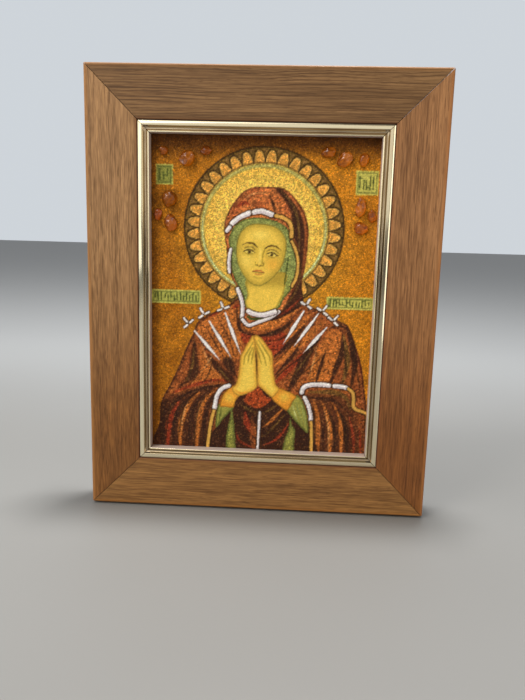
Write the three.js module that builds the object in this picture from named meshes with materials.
// A framed icon panel: four mitred oak rails, a champagne-gold slip inside them, a board with a layer of
// amber crumb, polished amber nuggets glued to the board, and a plain back with a ring hanger.
// Millimetres, +Z up. The front faces -Y, and the rails' flat backs lie in the plane y = 0.
// The origin is the centre of the top rail's back, where the frame meets the wall it hangs on.
import * as THREE from 'three';

// The whole frame.
const FRAME_WIDTH = 224;
const FRAME_HEIGHT = 284;
const FRAME_DEPTH = 24;
// The clearance between two pieces that touch on the real object.
const GAP = 0.3;

// The oak rails, across a rail from its outside inwards, and back from the frame's front.
const RAIL_FACE = 32.5;
const RAIL_SET_BACK = 1.8;
const RAIL_LIP = 8.3;
const REBATE = 6;
const OUTER_ROUND = 2.5;
const INNER_ROUND = 0.8;
const BACK_EASE = 0.8;

// The gold slip: its three visible strips, its hidden flange and the depths of its steps.
const SLIP_BAND = 3.1;
const SLIP_COVE = 3.1;
const SLIP_LIP = 1.0;
const SLIP_BAND_SET_BACK = 1.5;
const SLIP_COVE_SET_BACK = 3.1;
const SLIP_LIP_SET_BACK = 1.1;
const SLIP_LIP_DEPTH = 6.5;
const SLIP_REBATE = 3.6;
const SLIP_BACK = 12.4;

// The icon board, of the common 15 by 21 cm size, and the back board.
const ICON_WIDTH = 150;
const ICON_HEIGHT = 210;
const ICON_CORNER = 0.8;
const BACK_BOARD_THICKNESS = 3;
const BACK_BOARD_PLAY = 0.5;

// The steel tabs that hold the back board.
const TAB_WIDTH = 10;
const TAB_LENGTH = 11;
const TAB_THICKNESS = 0.6;
const TAB_SPREAD = 62;

// The ring hanger on the back board.
const STRAP_WIDTH = 11;
const STRAP_LENGTH = 24;
const STRAP_THICKNESS = 0.8;
const STRAP_DROP = 52;
const EYE_RADIUS = 2.1;
const EYE_HOLE = 1.3;
const RING_WIRE = 1.0;
const RING_CORNER = 4.5;
const RING_SIDE = 6;
const RING_RISE = 1;
const RIVET_RADIUS = 2.3;
const RIVET_HEIGHT = 0.9;
const RIVET_PLACES = [7, 18];

// The amber nuggets. x and z are measured from the centre of the icon, across and up; turn is in degrees.
const NUGGETS = [
  { x: -64.3, z: 91.9, width: 6.4, height: 6.0, turn: 20 },
  { x: -49.1, z: 87.4, width: 11.2, height: 10.6, turn: 35 },
  { x: -37.1, z: 92.5, width: 8.2, height: 6.0, turn: -10 },
  { x: -59.8, z: 62.0, width: 10.8, height: 12.2, turn: 12 },
  { x: -67.6, z: 52.3, width: 6.0, height: 8.6, turn: 8 },
  { x: -59.4, z: 47.6, width: 9.4, height: 12.2, turn: -6 },
  { x: 39.0, z: 92.9, width: 9.9, height: 8.0, turn: -15 },
  { x: 49.7, z: 88.3, width: 12.0, height: 9.8, turn: -40 },
  { x: 61.4, z: 88.5, width: 7.4, height: 8.4, turn: 15 },
  { x: 61.3, z: 60.1, width: 7.6, height: 13.0, turn: 6 },
  { x: 68.3, z: 54.5, width: 5.6, height: 10.2, turn: -8 },
  { x: 61.8, z: 46.6, width: 9.4, height: 9.6, turn: 25 },
];
const NUGGET_RISE = 0.4;
const NUGGET_SINK = 0.22;
const NUGGET_DETAIL = 2;
const NUGGET_LUMP = 0.06;

// Steps of the round stretches.
const CURVE_STEPS = 5;
const EYE_STEPS = 20;
const RING_STEPS = 20;
const WIRE_STEPS = 10;
const RIVET_STEPS = 20;

// Places that follow from the sizes above.
const FRONT_Y = -FRAME_DEPTH;
const BACK_LAND = RAIL_FACE - REBATE;
const TOP_Z = BACK_LAND / 2;
const CENTRE_Z = TOP_Z - FRAME_HEIGHT / 2;
const SIGHT_EDGE = RAIL_FACE + GAP + SLIP_BAND + SLIP_COVE + SLIP_LIP;
const ICON_FRONT = SLIP_LIP_SET_BACK + SLIP_LIP_DEPTH + GAP;
const BACK_BOARD_FRONT = SLIP_BACK + GAP;
const BACK_BOARD_Y = FRONT_Y + BACK_BOARD_FRONT + BACK_BOARD_THICKNESS;
const BACK_BOARD_WIDTH = FRAME_WIDTH - 2 * (BACK_LAND + BACK_BOARD_PLAY);
const BACK_BOARD_HEIGHT = FRAME_HEIGHT - 2 * (BACK_LAND + BACK_BOARD_PLAY);

const oak = new THREE.MeshStandardMaterial({ color: 0x9b6d3e, roughness: 0.5, metalness: 0 });
const gold = new THREE.MeshStandardMaterial({ color: 0xd2c08f, roughness: 0.25, metalness: 1 });
const crumb = new THREE.MeshStandardMaterial({ color: 0xb8731f, roughness: 0.6, metalness: 0 });
const amber = new THREE.MeshStandardMaterial({ color: 0xa4501b, roughness: 0.15, metalness: 0 });
const hardboard = new THREE.MeshStandardMaterial({ color: 0x7d5b3b, roughness: 0.8, metalness: 0 });
const steel = new THREE.MeshStandardMaterial({ color: 0xa3a3a0, roughness: 0.35, metalness: 1 });

const panel = new THREE.Group();

function addPiece(parent, name, geometry, material) {
  const piece = new THREE.Mesh(geometry, material.clone());
  piece.name = name;
  parent.add(piece);
  return piece;
}

// The four sides of the frame, each with its own group: x runs along the side and z points outwards.
const SIDES = [
  { name: 'top', turn: 0, x: 0, z: TOP_Z, length: FRAME_WIDTH },
  { name: 'right', turn: Math.PI / 2, x: FRAME_WIDTH / 2, z: CENTRE_Z, length: FRAME_HEIGHT },
  { name: 'bottom', turn: Math.PI, x: 0, z: TOP_Z - FRAME_HEIGHT, length: FRAME_WIDTH },
  { name: 'left', turn: -Math.PI / 2, x: -FRAME_WIDTH / 2, z: CENTRE_Z, length: FRAME_HEIGHT },
];

function sideGroup(side) {
  const group = new THREE.Group();
  group.position.set(side.x, 0, side.z);
  group.rotation.y = side.turn;
  panel.add(group);
  return group;
}

// A length of moulding with mitred ends. Its section is drawn with x inwards from the frame's outside and
// y back from the frame's front, so each end is cut back by as much as a point lies inwards.
function mouldingGeometry(section, length) {
  const geometry = new THREE.ExtrudeGeometry(section, {
    depth: 1,
    steps: 1,
    bevelEnabled: false,
    curveSegments: CURVE_STEPS,
  });
  const position = geometry.getAttribute('position');
  const mitreGap = (GAP / 2) * Math.SQRT2;
  for (let i = 0; i < position.count; i += 1) {
    const reach = length - 2 * (position.getX(i) + mitreGap);
    position.setZ(i, (position.getZ(i) - 0.5) * reach);
  }
  geometry.rotateY(Math.PI / 2);
  geometry.translate(0, FRONT_Y, 0);
  return geometry;
}

// The oak section: a flat face that falls back a little towards the picture, a rounded outer edge and
// the rebate behind the lip.
function railSection() {
  const section = new THREE.Shape();
  section.moveTo(BACK_EASE, FRAME_DEPTH);
  section.lineTo(0, FRAME_DEPTH - BACK_EASE);
  section.lineTo(0, OUTER_ROUND);
  section.absarc(OUTER_ROUND, OUTER_ROUND, OUTER_ROUND, Math.PI, 1.5 * Math.PI, false);
  const innerEdge = RAIL_FACE - INNER_ROUND;
  section.lineTo(innerEdge, RAIL_SET_BACK);
  section.absarc(innerEdge, RAIL_SET_BACK + INNER_ROUND, INNER_ROUND, 1.5 * Math.PI, 2 * Math.PI, false);
  section.lineTo(RAIL_FACE, RAIL_LIP);
  section.lineTo(BACK_LAND, RAIL_LIP);
  section.lineTo(BACK_LAND, FRAME_DEPTH);
  section.closePath();
  return section;
}

// The slip's section: a crowned band, a cove, a small rounded lip over the picture, the rebate that holds
// the icon board, and the flange that lies in the oak's rebate.
function slipSection() {
  const outer = RAIL_FACE + GAP;
  const bandEnd = outer + SLIP_BAND;
  const coveEnd = bandEnd + SLIP_COVE;
  const lipRadius = SLIP_LIP / 2;
  const lipFoot = SLIP_LIP_SET_BACK + lipRadius;
  const lipBack = SLIP_LIP_SET_BACK + SLIP_LIP_DEPTH;
  const section = new THREE.Shape();
  section.moveTo(BACK_LAND + GAP, SLIP_BACK);
  section.lineTo(BACK_LAND + GAP, RAIL_LIP + GAP);
  section.lineTo(outer, RAIL_LIP + GAP);
  section.lineTo(outer, RAIL_SET_BACK + INNER_ROUND);
  section.quadraticCurveTo(outer, SLIP_BAND_SET_BACK, outer + SLIP_BAND / 3, SLIP_BAND_SET_BACK);
  section.lineTo(bandEnd, RAIL_SET_BACK);
  const coveMiddle = (bandEnd + coveEnd) / 2;
  const covePull = 2 * SLIP_COVE_SET_BACK - (RAIL_SET_BACK + lipFoot) / 2;
  section.quadraticCurveTo(coveMiddle, covePull, coveEnd, lipFoot);
  section.absarc(coveEnd + lipRadius, lipFoot, lipRadius, Math.PI, 2 * Math.PI, false);
  section.lineTo(SIGHT_EDGE, lipBack);
  section.lineTo(SIGHT_EDGE - SLIP_REBATE, lipBack);
  section.lineTo(SIGHT_EDGE - SLIP_REBATE, SLIP_BACK);
  section.closePath();
  return section;
}

// A flat board with its corners slightly rounded, its front at the given depth behind the frame's front.
function boardGeometry(width, height, thickness, front, corner) {
  const right = width / 2;
  const top = height / 2;
  const outline = new THREE.Shape();
  outline.absarc(right - corner, top - corner, corner, 0, 0.5 * Math.PI, false);
  outline.absarc(corner - right, top - corner, corner, 0.5 * Math.PI, Math.PI, false);
  outline.absarc(corner - right, corner - top, corner, Math.PI, 1.5 * Math.PI, false);
  outline.absarc(right - corner, corner - top, corner, 1.5 * Math.PI, 2 * Math.PI, false);
  const geometry = new THREE.ExtrudeGeometry(outline, {
    depth: thickness,
    bevelEnabled: false,
    curveSegments: 3,
  });
  geometry.rotateX(Math.PI / 2);
  geometry.translate(0, FRONT_Y + front + thickness, 0);
  return geometry;
}

// A polished pebble of amber with a flat glued back. It is a lumpy ellipsoid: sums of slow waves pull it
// in and out, and what would lie behind its back is laid flat.
function nuggetGeometry(width, height, seed) {
  const rise = NUGGET_RISE * Math.min(width, height);
  const geometry = new THREE.IcosahedronGeometry(1, NUGGET_DETAIL);
  const position = geometry.getAttribute('position');
  const point = new THREE.Vector3();
  for (let i = 0; i < position.count; i += 1) {
    point.fromBufferAttribute(position, i);
    const wave = Math.sin(2.3 * point.x + seed) + Math.sin(2.9 * point.z - 1.7 * seed);
    const ripple = Math.sin(3.7 * point.y + 2.1 * point.x + 3.1 * seed);
    const lump = 1 + NUGGET_LUMP * (wave + 0.5 * ripple - 1);
    const front = point.y * lump - NUGGET_SINK;
    position.setXYZ(
      i,
      (width / 2) * point.x * lump,
      rise * Math.min(front, 0),
      (height / 2) * point.z * lump,
    );
  }
  return geometry;
}

function buildFrame() {
  for (const side of SIDES) {
    const group = sideGroup(side);
    addPiece(group, `frame_rail_${side.name}`, mouldingGeometry(railSection(), side.length), oak);
    addPiece(group, `slip_${side.name}`, mouldingGeometry(slipSection(), side.length), gold);
  }
}

function buildIcon() {
  const thickness = SLIP_BACK - ICON_FRONT;
  const board = boardGeometry(ICON_WIDTH, ICON_HEIGHT, thickness, ICON_FRONT, ICON_CORNER);
  addPiece(panel, 'icon_board', board, crumb).position.z = CENTRE_Z;
  NUGGETS.forEach((nugget, index) => {
    const number = String(index + 1).padStart(2, '0');
    const geometry = nuggetGeometry(nugget.width, nugget.height, index);
    const piece = addPiece(panel, `amber_nugget_${number}`, geometry, amber);
    piece.position.set(nugget.x, FRONT_Y + ICON_FRONT - GAP, CENTRE_Z + nugget.z);
    piece.rotation.y = THREE.MathUtils.degToRad(nugget.turn);
  });
}

function tabGeometry() {
  const round = TAB_WIDTH / 2;
  const outline = new THREE.Shape();
  outline.moveTo(-round, 0);
  outline.lineTo(-round, round - TAB_LENGTH);
  outline.absarc(0, round - TAB_LENGTH, round, Math.PI, 2 * Math.PI, false);
  outline.lineTo(round, 0);
  outline.closePath();
  const geometry = new THREE.ExtrudeGeometry(outline, {
    depth: TAB_THICKNESS,
    bevelEnabled: false,
    curveSegments: 8,
  });
  geometry.rotateX(Math.PI / 2);
  geometry.translate(0, BACK_BOARD_Y + GAP + TAB_THICKNESS, -(BACK_LAND + GAP));
  return geometry;
}

// One tab at the middle of each short side, and two on each long side.
function buildTabs() {
  let number = 1;
  for (const side of SIDES) {
    const group = sideGroup(side);
    const places = side.length === FRAME_HEIGHT ? [-TAB_SPREAD, TAB_SPREAD] : [0];
    for (const place of places) {
      addPiece(group, `backing_tab_${number}`, tabGeometry(), steel).position.x = place;
      number += 1;
    }
  }
}

// The hanger's strap, seen from its side: a flat tongue that ends in an eye for the ring.
function strapGeometry() {
  const eyeMeetsTongue = Math.asin((EYE_RADIUS - STRAP_THICKNESS) / EYE_RADIUS);
  const outline = new THREE.Shape();
  outline.moveTo(-STRAP_LENGTH, 0);
  outline.lineTo(0, 0);
  outline.absarc(0, EYE_RADIUS, EYE_RADIUS, -0.5 * Math.PI, Math.PI + eyeMeetsTongue, false);
  outline.lineTo(-STRAP_LENGTH, STRAP_THICKNESS);
  outline.closePath();
  const hole = new THREE.Path();
  hole.absarc(0, EYE_RADIUS, EYE_HOLE, 0, 2 * Math.PI, true);
  outline.holes.push(hole);
  const geometry = new THREE.ExtrudeGeometry(outline, {
    depth: STRAP_WIDTH,
    bevelEnabled: false,
    curveSegments: EYE_STEPS,
  });
  geometry.translate(0, 0, -STRAP_WIDTH / 2);
  geometry.rotateY(-Math.PI / 2);
  return geometry;
}

// A wire ring with straight sides and round corners: a torus whose quarters are pulled apart. It is
// turned by half a step, so that no point lies on the lines where it parts.
function ringGeometry() {
  const geometry = new THREE.TorusGeometry(RING_CORNER, RING_WIRE, WIRE_STEPS, RING_STEPS);
  geometry.rotateZ(Math.PI / RING_STEPS);
  geometry.rotateX(Math.PI / 2);
  const position = geometry.getAttribute('position');
  for (let i = 0; i < position.count; i += 1) {
    position.setX(i, position.getX(i) + Math.sign(position.getX(i)) * RING_SIDE);
    position.setZ(i, position.getZ(i) + Math.sign(position.getZ(i)) * RING_RISE);
  }
  return geometry;
}

function rivetGeometry() {
  const profile = [new THREE.Vector2(0, 0)];
  for (let step = 0; step <= CURVE_STEPS; step += 1) {
    const angle = (0.5 * Math.PI * step) / CURVE_STEPS;
    profile.push(new THREE.Vector2(RIVET_RADIUS * Math.cos(angle), RIVET_HEIGHT * Math.sin(angle)));
  }
  profile[profile.length - 1].x = 0;
  return new THREE.LatheGeometry(profile, RIVET_STEPS);
}

function buildBack() {
  const back = boardGeometry(
    BACK_BOARD_WIDTH,
    BACK_BOARD_HEIGHT,
    BACK_BOARD_THICKNESS,
    BACK_BOARD_FRONT,
    ICON_CORNER,
  );
  addPiece(panel, 'back_board', back, hardboard).position.z = CENTRE_Z;
  buildTabs();
  const hanger = new THREE.Group();
  hanger.position.set(0, BACK_BOARD_Y + GAP, TOP_Z - STRAP_DROP);
  panel.add(hanger);
  addPiece(hanger, 'hanger_strap', strapGeometry(), steel);
  const ring = addPiece(hanger, 'hanger_ring', ringGeometry(), steel);
  ring.position.set(0, EYE_RADIUS, RING_CORNER + RING_RISE);
  RIVET_PLACES.forEach((place, index) => {
    const rivet = addPiece(hanger, `hanger_rivet_${index + 1}`, rivetGeometry(), steel);
    rivet.position.set(0, STRAP_THICKNESS + GAP, -place);
  });
}

buildFrame();
buildIcon();
buildBack();

export default panel;
